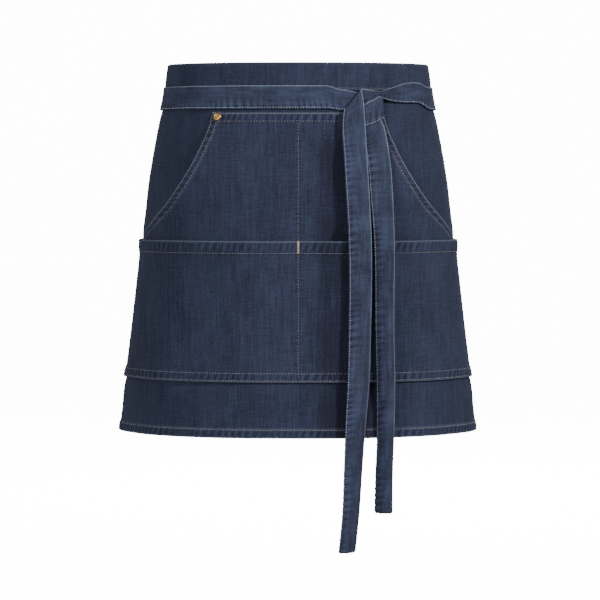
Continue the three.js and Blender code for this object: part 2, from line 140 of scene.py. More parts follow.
def through(rows, at):
    """A smooth curve through (place, value) rows, flat beyond its ends."""
    key = tuple(rows)
    if key not in smooth_tables:
        places, values = np.array(rows, float).T
        smooth_tables[key] = places, values, np.gradient(values, places)
    places, values, slopes = smooth_tables[key]
    at = np.clip(at, places[0], places[-1])
    k = np.clip(np.searchsorted(places, at, side="right") - 1, 0, len(rows) - 2)
    step = places[k + 1] - places[k]
    t = (at - places[k]) / step
    rise = values[k + 1] - values[k]
    near, far = slopes[k] * step, slopes[k + 1] * step
    return values[k] + t * (near + t * (3 * rise - 2 * near - far + t * (near + far - 2 * rise)))


def ease(at, low, high):
    t = np.clip((np.asarray(at, float) - low) / (high - low), 0, 1)
    return t * t * (3 - 2 * t)


def signed_power(value, exponent):
    return np.sign(value) * np.abs(value) ** exponent


def body_size(z):
    flare = through(FLARE, (TOP - z) / DROP)
    return WAIST_HALF_WIDTH + WIDTH_FLARE * flare, WAIST_HALF_DEPTH + DEPTH_FLARE * flare


def drape(angle, z):
    """The cloth's own soft waves, which every layer shares. They fade out towards the waist."""
    free = ease((TOP - z) / DROP, 0.2, 0.95)
    broad = np.sin(6.1 * angle + 0.9 + 2.2 * np.sin(5 * z)) + 0.6 * np.sin(11.7 * angle - 9 * z + 2.1)
    return 0.0008 * free * broad


def on_body(angle, z, out):
    """A point of the worn body, by its angle from the middle of the front, height, and distance out."""
    width, depth = body_size(z)
    s, c = np.sin(angle), np.cos(angle)
    steep = 2 * (SQUARENESS - 1) / SQUARENESS
    across, back = signed_power(s, steep) / width, signed_power(c, steep) / depth
    long = np.hypot(across, back)
    out = out + drape(angle, z)
    x = width * signed_power(s, 2 / SQUARENESS) + across / long * out
    y = -depth * signed_power(c, 2 / SQUARENESS) - back / long * out
    return np.stack(np.broadcast_arrays(x, y, z), axis=-1)


turns = np.linspace(0, math.pi, 721)


def walked_round(z):
    """The length of cloth from the middle of the front to each of the turns."""
    width, depth = body_size(z)
    x = width * signed_power(np.sin(turns), 2 / SQUARENESS)
    y = depth * signed_power(np.cos(turns), 2 / SQUARENESS)
    return np.concatenate([[0], np.cumsum(np.hypot(np.diff(x), np.diff(y)))])


def angle_at(run, z):
    return np.sign(run) * np.interp(np.abs(run), walked_round(z), turns)


def run_at(angle, z):
    return np.sign(angle) * np.interp(np.abs(angle), turns, walked_round(z))


def angle_across(x, z, out):
    """The angle at which a point of the front, lifted by out, has the given x."""
    width = body_size(z)[0]
    surface, angle = x, 0.0
    for _ in range(6):
        angle = np.arcsin(signed_power(np.clip(surface / width, -1, 1), SQUARENESS / 2))
        surface = surface + x - on_body(angle, z, out)[..., 0]
    return angle


def pucker(run, down):
    """The rope-like ridges that the stitching draws along a seam, from -1 to 1."""
    phase = 2 * math.pi * run / 0.0074 + 2.1 * np.sin(run * 41 + down * 30) + 1.3 * np.sin(run * 113 + 1.7)
    return np.sin(phase + down / 0.0042) * (0.65 + 0.35 * np.sin(run * 67 + 0.4))


def hem_relief(distance, depth, rows, run, down, strength=1.0):
    """How a folded and stitched hem stands out, and how much it puckers, at a distance from its fold."""
    inside = 1 - ease(distance, depth - 0.0006, depth + 0.0012)
    near = np.clip(1 - np.abs(distance / depth - 0.5) * 1.5, 0, 1)
    ridges_and_painted_shade = pucker(run, down) * near * strength
    thread = sum(np.exp(-(((distance - row) / 0.0008) ** 2)) for row in rows)
    out = (2 * FOLD - CLOTH) * inside + 0.00045 * ridges_and_painted_shade - 0.00042 * thread
    return out, ridges_and_painted_shade


def under_tails(run, down):
    """How far the colour is darkened beside and between the tails, from 0 to 1. It stands in for what looks
    like their soft shadow in the photo, but it stays the same in any light."""
    return ease(run, 0.013, 0.034) * (1 - ease(run, 0.092, 0.104)) * ease(down, 0.06, 0.1)


def panel_half(z):
    return (PANEL_TOP + (PANEL_HEM - PANEL_TOP) * (TOP - z) / DROP) / 2


PANEL_HEM_ROWS = [0.0088]
SIDE_HEM_ROWS = [0.0085]


def panel_face(run, z):
    """The panel's outer face: distance out, wear, and ridges less the painted shadow beside the tails."""
    down = TOP - z
    above_hem = DROP - down
    from_side = panel_half(z) - np.abs(run)
    hem, ridges_and_painted_shade = hem_relief(above_hem, 0.0096, PANEL_HEM_ROWS, run, down, 1.5)
    side, side_ridges = hem_relief(from_side, 0.0095, SIDE_HEM_ROWS, down * 1.1 + 0.3, run * 0)
    wear = 0.75 * np.exp(-((above_hem / 0.0011) ** 2)) + 0.5 * np.exp(-((from_side / 0.0012) ** 2))
    wear = wear + 0.3 * np.exp(-(((above_hem - 0.0098) / 0.0009) ** 2))
    ridge_and_painted_shade = np.where(np.abs(ridges_and_painted_shade) > np.abs(side_ridges), ridges_and_painted_shade, side_ridges)
    return CLOTH + np.maximum(hem, side), wear, ridge_and_painted_shade - 1.25 * under_tails(run, down)


def folded(fine, reach, hem):
    """(distance, depth under the face) from a folded edge inwards, from the hidden end to the face."""
    under = [(hem, 2 * FOLD), (hem * 0.5, 2 * FOLD), (FOLD, 2 * FOLD)]
    bend_turns = [math.pi * k / 4 for k in (1, 2, 3)]
    bend = [(FOLD - FOLD * math.sin(t), FOLD + FOLD * math.cos(t)) for t in bend_turns]
    return under + bend + [(FOLD + fine * k, 0.0) for k in range(int(reach / fine))]


def lay_cloth(name, downs, edges, middle, half_at, face_at):
    """Lays a grid of cloth round the body. downs holds (down, depth under the face) for each row, edges the
    places from a side edge inwards, and middle the number of columns between them."""
    reach = edges[-1][0]
    inner = np.linspace(-1, 1, middle + 2)[1:-1]
    columns = [(-1, d, under) for d, under in edges] + [(0, s, 0.0) for s in inner]
    columns += [(1, d, under) for d, under in reversed(edges)]
    side, place, under = np.array(columns).T
    bm = bmesh.new()
    bmesh.ops.create_grid(bm, x_segments=len(columns) - 1, y_segments=len(downs) - 1, size=1)
    spots, flat, wear, ridges_and_painted_shade = [], [], [], []
    for down, tucked in downs:
        z = TOP - down
        half = half_at(z)
        run = np.where(side == 0, place * (half - reach), side * (half - place))
        angle = angle_at(run, z)
        out, worn, ridge_and_painted_shade = face_at(run, z)
        spots.append(on_body(angle, z, out - under - tucked))
        flat.append(np.stack([run, np.full_like(run, -down)], axis=-1))
        wear.append(np.broadcast_to(worn, run.shape))
        ridges_and_painted_shade.append(np.broadcast_to(ridge_and_painted_shade, run.shape))
    spots, flat, wear, ridges_and_painted_shade = map(np.array, (spots, flat, wear, ridges_and_painted_shade))
    weave = bm.loops.layers.uv.new("cloth")
    # The ridge layer holds pucker crests and, on the panel and pockets, the painted shadow beside the tails.
    wear_layer = bm.verts.layers.float.new("wear")
    ridge_and_painted_shade_layer = bm.verts.layers.float.new("ridge_and_painted_shade")
    cells = {}
    for vert in bm.verts:
        i = round((vert.co.x + 1) / 2 * (len(columns) - 1))
        j = round((1 - vert.co.y) / 2 * (len(downs) - 1))
        cells[vert] = (j, i)
    for vert, (j, i) in cells.items():
        vert.co = spots[j, i]
        vert[wear_layer] = wear[j, i]
        vert[ridge_and_painted_shade_layer] = ridges_and_painted_shade[j, i]
    for cloth_face in bm.faces:
        for loop in cloth_face.loops:
            loop[weave].uv = flat[cells[loop.vert]]
    piece = object_from(bm, name)
    wall = piece.modifiers.new("cloth thickness", "SOLIDIFY")
    wall.thickness = 0.00082
    wall.offset = -1
    wall.material_offset = 1
    return piece


def node(tree, kind, **values):
    made = tree.nodes.new(kind)
    for key, value in values.items():
        if hasattr(made, key):
            setattr(made, key, value)
        else:
            made.inputs[key.replace("_", " ")].default_value = value
    return made


def denim_group():
    """Denim's surface from the cloth's own measure: twill, warp slubs, fading, worn edges, and painted shade.
    """
    tree = bpy.data.node_groups.new("denim_weave", "ShaderNodeTree")

    def socket(name, way, kind, value=None):
        made = tree.interface.new_socket(name=name, in_out=way, socket_type=kind)
        if value is not None:
            made.default_value = value

    socket("Cloth", "INPUT", "NodeSocketVector")
    socket("Indigo", "INPUT", "NodeSocketColor", (0.02, 0.03, 0.07, 1))
    socket("Faded", "INPUT", "NodeSocketColor", (0.06, 0.09, 0.15, 1))
    socket("Worn", "INPUT", "NodeSocketColor", (0.2, 0.25, 0.33, 1))
    socket("Slub", "INPUT", "NodeSocketFloat", 0.5)
    socket("Mottle", "INPUT", "NodeSocketFloat", 0.5)
    socket("Cross", "INPUT", "NodeSocketFloat", 0.0)
    socket("Wear", "INPUT", "NodeSocketFloat", 0.0)
    socket("Ridge and painted shade", "INPUT", "NodeSocketFloat", 0.0)
    socket("Color", "OUTPUT", "NodeSocketColor")
    socket("Roughness", "OUTPUT", "NodeSocketFloat")
    socket("Height", "OUTPUT", "NodeSocketFloat")
    into = tree.nodes.new("NodeGroupInput")
    outof = tree.nodes.new("NodeGroupOutput")
    link = tree.links.new

    def scaled(scale, turn=0.0):
        made = node(tree, "ShaderNodeMapping")
        made.inputs["Scale"].default_value = (*scale, 1)
        made.inputs["Rotation"].default_value = (0, 0, turn)
        link(into.outputs["Cloth"], made.inputs["Vector"])
        return made.outputs["Vector"]

    def noise(scale, detail, rough=0.55):
        made = node(tree, "ShaderNodeTexNoise", Scale=1.0, Detail=detail, Roughness=rough)
        link(scaled(scale), made.inputs["Vector"])
        return made.outputs["Fac"]

    def stretch(value, low, high, to_low=0.0, to_high=1.0):
        made = node(tree, "ShaderNodeMapRange")
        made.interpolation_type = "SMOOTHSTEP"
        for key, amount in zip(("From Min", "From Max", "To Min", "To Max"), (low, high, to_low, to_high)):
            made.inputs[key].default_value = amount
        link(value, made.inputs["Value"])
        return made.outputs["Result"]

    def maths(operation, *values):
        made = node(tree, "ShaderNodeMath", operation=operation)
        for k, value in enumerate(values):
            if isinstance(value, (int, float)):
                made.inputs[k].default_value = value
            else:
                link(value, made.inputs[k])
        return made.outputs["Value"]

    def mix(share, first, second, blend="MIX"):
        made = node(tree, "ShaderNodeMix", data_type="RGBA", blend_type=blend)
        for key, value in zip((0, 6, 7), (share, first, second)):
            if isinstance(value, (int, float, tuple)):
                made.inputs[key].default_value = value
            else:
                link(value, made.inputs[key])
        return made.outputs[2]

    fine_slub = stretch(noise((720, 38), 4, 0.7), 0.36, 0.66)
    broad_slub = stretch(noise((300, 9), 3), 0.34, 0.7)
    weft_slub = stretch(noise((48, 700), 3, 0.7), 0.36, 0.66)
    heather = stretch(noise((560, 480), 3, 0.75), 0.36, 0.66)
    patches = stretch(noise((24, 17), 4, 0.6), 0.34, 0.68)
    hue = stretch(noise((31, 12), 3), 0.38, 0.64)
    across = stretch(noise((120, 34), 3), 0.38, 0.66)
    twill = node(
        tree, "ShaderNodeTexWave", wave_type="BANDS", bands_direction="X", Scale=0.32, Distortion=0.6,
    )
    link(scaled((1000, 1000), math.radians(33)), twill.inputs["Vector"])
    rib = twill.outputs["Fac"]

    slubs = maths("ADD", maths("MULTIPLY", fine_slub, 0.42), maths("MULTIPLY", broad_slub, 0.2))
    slubs = maths("ADD", slubs, maths("MULTIPLY", weft_slub, 0.24))
    slubs = maths("ADD", slubs, maths("MULTIPLY", heather, 0.34))
    slubs = maths("MULTIPLY", maths("SUBTRACT", slubs, 0.2), into.outputs["Slub"])
    fade = maths("ADD", slubs, maths("MULTIPLY", patches, into.outputs["Mottle"]))
    fade = maths("ADD", fade, maths("MULTIPLY", across, into.outputs["Cross"]))
    fade = maths("ADD", fade, maths("MULTIPLY", maths("SUBTRACT", rib, 0.5), 0.14))
    # The ridge input lightens pucker crests and darkens the colour for painted shade beside the tails and in
    # the knot.
    fade = maths("ADD", fade, maths("MULTIPLY", into.outputs["Ridge and painted shade"], 0.4))
    fade.node.use_clamp = True
    base = mix(fade, into.outputs["Indigo"], into.outputs["Faded"])
    tinted = mix(0.55, base, mix(hue, (1.05, 0.93, 1.05, 1), (0.95, 1.06, 1.02, 1)), "MULTIPLY")
    grain = stretch(noise((900, 700), 2), 0.3, 0.7, 0.45, 1.0)
    worn = maths("MULTIPLY", into.outputs["Wear"], grain)
    worn.node.use_clamp = True
    link(mix(worn, tinted, into.outputs["Worn"]), outof.inputs["Color"])
    link(maths("ADD", 0.84, maths("MULTIPLY", fine_slub, 0.1)), outof.inputs["Roughness"])
    height = maths("ADD", maths("MULTIPLY", rib, 0.35), maths("MULTIPLY", fine_slub, 0.5))
    link(maths("ADD", height, maths("MULTIPLY", weft_slub, 0.2)), outof.inputs["Height"])
    return tree


denim_weave = denim_group()


def denim(name, indigo, faded, worn, slub=0.95, mottle=0.18, cross=0.0):
    made = bpy.data.materials.new(name)
    made.use_nodes = True
    tree = made.node_tree
    shader = tree.nodes["Principled BSDF"]
    weave = node(tree, "ShaderNodeGroup", node_tree=denim_weave)
    cloth_map = node(tree, "ShaderNodeUVMap", uv_map="cloth")
    wear = node(tree, "ShaderNodeAttribute", attribute_name="wear")
    ridge_and_painted_shade = node(tree, "ShaderNodeAttribute", attribute_name="ridge_and_painted_shade")
    bump = node(tree, "ShaderNodeBump", Strength=0.5, Distance=0.00035)
    tree.links.new(cloth_map.outputs["UV"], weave.inputs["Cloth"])
    tree.links.new(wear.outputs["Fac"], weave.inputs["Wear"])
    tree.links.new(ridge_and_painted_shade.outputs["Fac"], weave.inputs["Ridge and painted shade"])
    for key, value in zip(("Indigo", "Faded", "Worn"), (indigo, faded, worn)):
        weave.inputs[key].default_value = (*value, 1)
    for key, value in zip(("Slub", "Mottle", "Cross"), (slub, mottle, cross)):
        weave.inputs[key].default_value = value
    tree.links.new(weave.outputs["Color"], shader.inputs["Base Color"])
    tree.links.new(weave.outputs["Roughness"], shader.inputs["Roughness"])
    tree.links.new(weave.outputs["Height"], bump.inputs["Height"])
    tree.links.new(bump.outputs["Normal"], shader.inputs["Normal"])
    shader.inputs["Specular IOR Level"].default_value = 0.25
    shader.inputs["Sheen Weight"].default_value = 0.06
    shader.inputs["Sheen Roughness"].default_value = 0.6
    shader.inputs["Sheen Tint"].default_value = (0.6, 0.7, 0.9, 1)
    return made


panel_denim = denim("panel_denim", (0.0085, 0.0105, 0.025), (0.035, 0.047, 0.093), (0.17, 0.2, 0.27))
reverse_denim = denim("reverse_denim", (0.05, 0.065, 0.1), (0.17, 0.2, 0.26), (0.24, 0.27, 0.33))

hem_places = folded(0.0011, 0.0165, 0.0088)
side_places = folded(0.0014, 0.0155, 0.009)
panel_downs = [(CLOTH + GAP + 0.0285 * k / 8, 0.0) for k in range(9)]
panel_downs += [(d, 0.0) for d in np.linspace(0.034, DROP - 0.019, 82)]
panel_downs += [(DROP - distance, under) for distance, under in reversed(hem_places)]
main_panel = lay_cloth("main_panel_cloth", panel_downs, side_places, 352, panel_half, panel_face)
main_panel.data.materials.append(panel_denim)
main_panel.data.materials.append(reverse_denim)
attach(main_panel, "root")
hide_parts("main_panel")


def thread(name, dark, light):
    """Cotton thread: two colours in short flecks, with a twisted nap."""
    made = bpy.data.materials.new(name)
    made.use_nodes = True
    tree = made.node_tree
    shader = tree.nodes["Principled BSDF"]
    where = node(tree, "ShaderNodeTexCoord")
    flecks = node(tree, "ShaderNodeTexNoise", Scale=420.0, Detail=3.0)
    blend = node(tree, "ShaderNodeMix", data_type="RGBA")
    bump = node(tree, "ShaderNodeBump", Strength=0.4, Distance=0.0002)
    twist = node(tree, "ShaderNodeTexWave", Scale=900.0, Distortion=2.0, bands_direction="DIAGONAL")
    tree.links.new(where.outputs["Object"], flecks.inputs["Vector"])
    tree.links.new(where.outputs["Object"], twist.inputs["Vector"])
    tree.links.new(flecks.outputs["Fac"], blend.inputs[0])
    blend.inputs[6].default_value = (*dark, 1)
    blend.inputs[7].default_value = (*light, 1)
    tree.links.new(blend.outputs[2], shader.inputs["Base Color"])
    tree.links.new(twist.outputs["Fac"], bump.inputs["Height"])
    tree.links.new(bump.outputs["Normal"], shader.inputs["Normal"])
    shader.inputs["Roughness"].default_value = 0.55
    return made


grey_thread = thread("grey_thread", (0.12, 0.113, 0.12), (0.34, 0.32, 0.325))
pale_thread = thread("pale_thread", (0.24, 0.28, 0.35), (0.54, 0.6, 0.7))
copper_thread = thread("copper_thread", (0.155, 0.11, 0.11), (0.37, 0.265, 0.255))


def sew(bm, points, outward, pitch=0.0033, length=0.0021, thick=0.00034):
    """Stitches along a line of points, each a short round bar part sunk in the cloth and turned with it."""
    points, outward = np.asarray(points, float), np.asarray(outward, float)
    walked = np.concatenate([[0], np.cumsum(np.linalg.norm(np.diff(points, axis=0), axis=1))])
    count = int(walked[-1] / pitch)
    row = bmesh.new()
    spare = bpy.data.meshes.new("stitch_row")
    for k in range(count):
        at = (k + 0.5) * pitch
        middle = [np.interp(at, walked, points[:, axis]) for axis in range(3)]
        ahead = [np.interp(at + pitch / 3, walked, points[:, axis]) for axis in range(3)]
        behind = [np.interp(at - pitch / 3, walked, points[:, axis]) for axis in range(3)]
        along = (Vector(ahead) - Vector(behind)).normalized()
        up = Vector([np.interp(at, walked, outward[:, axis]) for axis in range(3)])
        side = along.cross(up).normalized()
        side = (side + along * 0.07 * math.sin(k * 2.4)).normalized()
        up = side.cross(along).normalized()
        turn = Matrix((side, up, along)).transposed().to_4x4()
        size = Matrix.Diagonal((thick, thick, length / 2 * (1 + 0.06 * math.sin(k * 1.7)), 1))
        place = Matrix.Translation(Vector(middle) + up * thick * 0.45) @ turn @ size
        bmesh.ops.create_uvsphere(row, u_segments=6, v_segments=4, radius=1, matrix=place)
        if k % 16 == 15 or k == count - 1:
            row.to_mesh(spare)
            bm.from_mesh(spare)
            row.clear()
    row.free()
    bpy.data.meshes.remove(spare)


def line_on(face_at, runs, heights):
    """Points and outward directions along a line on a cloth's face, by length of cloth and height."""
    points, outward = [], []
    for run, z in zip(runs, heights):
        run = np.array([run])
        angle = angle_at(run, z)
        out = face_at(run, z)[0]
        here = on_body(angle, z, out)[0]
        above = on_body(angle_at(run, z + 0.004), z + 0.004, out)[0]
        beside = on_body(angle_at(run + 0.002, z), z, out)[0]
        points.append(here)
        outward.append(Vector(beside - here).cross(Vector(above - here)).normalized())
    return np.array(points), np.array([list(v) for v in outward])


def stitches(name, bm, material):
    piece = object_from(bm, name)
    piece.data.materials.append(material)
    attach(piece, "root")
    return piece


bm = bmesh.new()
hem_z = TOP - DROP + PANEL_HEM_ROWS[0]
runs = np.linspace(-panel_half(hem_z) + 0.004, panel_half(hem_z) - 0.004, 260)
sew(bm, *line_on(panel_face, runs, np.full(260, hem_z)), length=0.0025)
for side in (-1, 1):
    heights = np.linspace(TOP - 0.034, TOP - DROP + 0.003, 120)
    runs = [side * (panel_half(z) - SIDE_HEM_ROWS[0]) for z in heights]
    sew(bm, *line_on(panel_face, runs, heights))
stitches("panel_stitching", bm, grey_thread)

# The upper pocket: one front with a straight top edge and two slanted hand openings, laid on the panel.
# Its edges are folded and sewn down with two rows, and one copper-coloured row runs down its middle.
UPPER_TOP = 0.054
MOUTH = 0.191
POCKET_SEAM = 0.341
OPENING = [
    (0, 0.61), (0.1, 0.622), (0.26, 0.663), (0.38, 0.702), (0.55, 0.771),
    (0.7, 0.846), (0.85, 0.936), (0.95, 0.982), (1, 0.992),
]
UPPER_STAND = 0.008
UPPER_GAPE = [(0, 0), (0.08, 0), (0.25, 0.45), (0.45, 1), (0.65, 0.95), (0.85, 0.3), (1, 0.04)]
SLANT_ROWS = [0.0014, 0.0072]
TOP_ROWS = [0.0014, 0.0092]


def opening_down(z):
    return (TOP - z - UPPER_TOP) / (MOUTH - UPPER_TOP)


edge_angles = {}


def upper_edge(z):
    """The angle of the pocket's side edge at a height. Below the lower pocket's mouth it stays the same."""
    key = round(z, 6)
    if key not in edge_angles:
        height = max(z, TOP - MOUTH)
        down = opening_down(height)
        stand = UPPER_STAND * through(UPPER_GAPE, down)
        place = through(OPENING, down) * body_size(height)[0]
        edge_angles[key] = float(angle_across(place, height, CLOTH + GAP + stand))
    return edge_angles[key]


def upper_half(z):
    return float(run_at(upper_edge(z), z))


def upper_lift(angle, z):
    stand = UPPER_STAND * through(UPPER_GAPE, opening_down(max(z, TOP - MOUTH)))
    return CLOTH + GAP + stand * ease(np.abs(angle) / upper_edge(z), 0.1, 0.8)


def upper_face(run, z):
    """The upper pocket's outer face: distance out, wear, and ridges less the painted shadow beside the tails.
    """
    down = TOP - z
    below_top = down - UPPER_TOP
    half = upper_half(z)
    slope = (upper_half(z - 0.004) - upper_half(z + 0.004)) / 0.008
    from_side = (half - np.abs(run)) / math.hypot(1, slope)
    top, ridges_and_painted_shade = hem_relief(below_top, 0.0102, TOP_ROWS, run, down, 1.3)
    side, side_ridges = hem_relief(from_side, 0.0082, SLANT_ROWS, down * 1.25 + 0.3, run * 0, 1.3)
    seam = np.exp(-((run / 0.0009) ** 2)) * ease(below_top, 0.008, 0.012)
    seam_ridges = 0.6 * np.exp(-((run / 0.004) ** 2)) * pucker(down * 1.3, run * 0)
    wear = 0.55 * np.exp(-((below_top / 0.0011) ** 2)) + 0.7 * np.exp(-((from_side / 0.0011) ** 2))
    wear = wear + 0.16 * np.exp(-(((from_side - 0.0082) / 0.0012) ** 2))
    out = upper_lift(angle_at(run, z), z) + CLOTH + np.maximum(top, side) - 0.0003 * seam
    ridge_and_painted_shade = np.where(np.abs(ridges_and_painted_shade) > np.abs(side_ridges), ridges_and_painted_shade, side_ridges)
    return out + 0.00012 * seam_ridges, wear, ridge_and_painted_shade + seam_ridges - under_tails(run, down)


top_places = folded(0.0011, 0.0165, 0.0095)
slant_places = folded(0.0011, 0.0135, 0.0078)
upper_downs = [(UPPER_TOP + distance, under) for distance, under in top_places]
upper_downs += [(d, 0.0) for d in np.linspace(UPPER_TOP + 0.0185, MOUTH + 0.004, 78)]
upper_downs += [(d, 0.0) for d in np.linspace(MOUTH + 0.012, POCKET_SEAM - 0.004, 12)]
upper_pocket = lay_cloth("upper_pocket_cloth", upper_downs, slant_places, 170, upper_half, upper_face)
pocket_denim = denim(
    "pocket_denim", (0.009, 0.011, 0.026), (0.0385, 0.05, 0.099), (0.17, 0.2, 0.27), mottle=0.22,
)
upper_pocket.data.materials.append(pocket_denim)
upper_pocket.data.materials.append(reverse_denim)
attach(upper_pocket, "root")
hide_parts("upper_pocket")

bm = bmesh.new()
for row in TOP_ROWS:
    z = TOP - UPPER_TOP - row
    reach = upper_half(z) - 0.006
    runs = np.linspace(-reach, reach, 120)
    sew(bm, *line_on(upper_face, runs, np.full(120, z)))
for side in (-1, 1):
    for row in SLANT_ROWS:
        heights = np.linspace(TOP - UPPER_TOP - 0.003 - row, TOP - MOUTH - 0.001, 110)
        runs = []
        for z in heights:
            slope = (upper_half(z - 0.004) - upper_half(z + 0.004)) / 0.008
            runs.append(side * (upper_half(z) - row * math.hypot(1, slope)))
        sew(bm, *line_on(upper_face, runs, heights))
stitches("upper_pocket_stitching", bm, grey_thread)

bm = bmesh.new()
heights = np.linspace(TOP - UPPER_TOP - 0.0105, TOP - MOUTH - 0.004, 90)
sew(bm, *line_on(upper_face, np.full(90, 0.0003), heights))
stitches("upper_centre_stitching", bm, copper_thread)

# The lower pocket: a wide front round the whole skirt, over the upper pocket's lower end. Its mouth has a
# deep folded hem, its bottom edge is sewn down with two rows, and a bar tack closes the middle of the mouth.
LOWER_STAND = 0.0105
LOWER_GAPE = [
    (0, 0), (0.045, 0.3), (0.1, 0.85), (0.15, 1), (0.21, 0.85),
    (0.33, 0.4), (0.6, 0.12), (0.75, 0.06), (1, 0),
]
MOUTH_ROW = 0.0129
SEAM_ROWS = [0.0021, 0.0096]


def lower_half(z):
    return panel_half(z) - 0.01


def lower_lift(run, z):
    angle = angle_at(run, z)
    shut = np.clip((TOP - z - MOUTH) / (POCKET_SEAM - MOUTH), 0, 1)
    stand = through(LOWER_GAPE, np.abs(run) / lower_half(z))
    return upper_lift(angle, z) + CLOTH + GAP + LOWER_STAND * stand * (1 - shut)


def lower_face(run, z):
    """The lower pocket's outer face: distance out, wear, and ridges less the painted shadow beside the tails.
    """
    down = TOP - z
    below_mouth = down - MOUTH
    above_seam = POCKET_SEAM - down
    from_side = lower_half(z) - np.abs(run)
    mouth, ridges_and_painted_shade = hem_relief(below_mouth, 0.0138, [MOUTH_ROW], run, down, 1.2)
    seam, seam_ridges = hem_relief(above_seam, 0.0105, SEAM_ROWS, run, down, 1.3)
    side, side_ridges = hem_relief(from_side, 0.0088, [0.0075], down * 1.15 + 0.3, run * 0)
    middle = np.exp(-((run / 0.0009) ** 2)) * ease(below_mouth, 0.0, 0.004)
    middle_ridges = 0.6 * np.exp(-((run / 0.004) ** 2)) * pucker(down * 1.3, run * 0)
    wear = 0.6 * np.exp(-((below_mouth / 0.0012) ** 2)) + 0.5 * np.exp(-((from_side / 0.0012) ** 2))
    wear = wear + 0.55 * np.exp(-((above_seam / 0.0011) ** 2))
    out = lower_lift(run, z) + CLOTH + np.maximum(np.maximum(mouth, seam), side)
    ridge_and_painted_shade = ridges_and_painted_shade + seam_ridges + np.where(below_mouth < 0.016, 0, side_ridges) + middle_ridges
    return out - 0.0004 * middle + 0.00012 * middle_ridges, wear, ridge_and_painted_shade - under_tails(run, down)


mouth_places = folded(0.0012, 0.0195, 0.0125)
seam_places = folded(0.0011, 0.0145, 0.0095)
lower_downs = [(MOUTH + distance, under) for distance, under in mouth_places]
lower_downs += [(d, 0.0) for d in np.linspace(MOUTH + 0.022, POCKET_SEAM - 0.018, 34)]
lower_downs += [(POCKET_SEAM - distance, under) for distance, under in reversed(seam_places)]
lower_pocket = lay_cloth("lower_pocket_cloth", lower_downs, side_places, 370, lower_half, lower_face)
lower_pocket.data.materials.append(pocket_denim)
lower_pocket.data.materials.append(reverse_denim)
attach(lower_pocket, "root")
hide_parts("lower_pocket")

bm = bmesh.new()
for down in (MOUTH + MOUTH_ROW, POCKET_SEAM - SEAM_ROWS[0], POCKET_SEAM - SEAM_ROWS[1]):
    z = TOP - down
    reach = lower_half(z) - 0.004
    runs = np.linspace(-reach, reach, 260)
    sew(bm, *line_on(lower_face, runs, np.full(260, z)), length=0.0025)
for side in (-1, 1):
    heights = np.linspace(TOP - MOUTH - 0.003, TOP - POCKET_SEAM + 0.003, 60)
    runs = [side * (lower_half(z) - 0.0075) for z in heights]
    sew(bm, *line_on(lower_face, runs, heights))
stitches("lower_pocket_stitching", bm, grey_thread)

bm = bmesh.new()
heights = np.linspace(TOP - MOUTH - MOUTH_ROW - 0.0015, TOP - POCKET_SEAM + 0.003, 100)
sew(bm, *line_on(lower_face, np.full(100, 0.0003), heights))
stitches("lower_centre_stitching", bm, copper_thread)

bm = bmesh.new()
heights = np.linspace(TOP - MOUTH - 0.0005, TOP - MOUTH - MOUTH_ROW, 30)
points, outward = line_on(lower_face, np.full(30, 0.0003), heights)
for k in range(24):
    at = k / 23 * (len(points) - 1)
    here = points[int(at)] + np.array([0, -0.0002, 0])
    across = [here + np.array([-0.0013, 0, 0]), here + np.array([0.0013, 0, 0.0002])]
    sew(bm, across, [outward[int(at)]] * 2, pitch=0.0026, length=0.0027, thick=0.00038)
tan_thread = thread("tan_thread", (0.33, 0.25, 0.18), (0.6, 0.5, 0.4))
stitches("mouth_bar_tack", bm, tan_thread)

# The waistband: a folded strip of the same denim that closes over the panel's top edge, with a rounded top
# fold and both lower edges turned in. One row of stitching runs near its lower edge and up both ends.
BAND_HEIGHT = 0.03
BAND_INNER = 0.027
band_outer = 2 * CLOTH + GAP
band_inner = -CLOTH - GAP


def band_profile():
    """(down, distance out) round the strip's section, from the inner bottom over the top fold."""
    middle, half = (band_outer + band_inner) / 2, (band_outer - band_inner) / 2
    rows = [(BAND_INNER, -GAP), (BAND_INNER, -GAP - CLOTH / 2), (BAND_INNER - 0.0006, band_inner)]
    rows += [(d, band_inner) for d in np.linspace(BAND_INNER - 0.004, 0.004, 8)]
    for k in range(7):
        t = math.pi * k / 6
        rows.append((0.0016 - 0.0016 * math.sin(t), middle - half * math.cos(t)))
    rows += [(d, band_outer) for d in np.linspace(0.004, BAND_HEIGHT - 0.005, 10)]
    rows += [(d, band_outer) for d in np.linspace(BAND_HEIGHT - 0.004, BAND_HEIGHT - 0.0005, 5)]
    rows += [(BAND_HEIGHT, band_outer - 0.0006), (BAND_HEIGHT, CLOTH + GAP)]
    return rows


def band_face(run, z):
    down = TOP - z
    above = BAND_HEIGHT - down
    thread_dip = np.exp(-(((above - 0.0023) / 0.0008) ** 2))
    bulge = 0.0004 * np.exp(-(((above - 0.001) / 0.0012) ** 2))
    bulge = bulge + 0.0005 * np.sin(np.clip(down / 0.026, 0, 1) * math.pi)
    ridges_and_painted_shade = pucker(run, down) * np.clip(1 - above / 0.012, 0, 1) * 0.8
    worn = 0.35 * np.exp(-((down / 0.0012) ** 2)) + 0.6 * np.exp(-((above / 0.0009) ** 2))
    return band_outer + bulge - 0.0004 * thread_dip + 0.0002 * ridges_and_painted_shade, worn, ridges_and_painted_shade


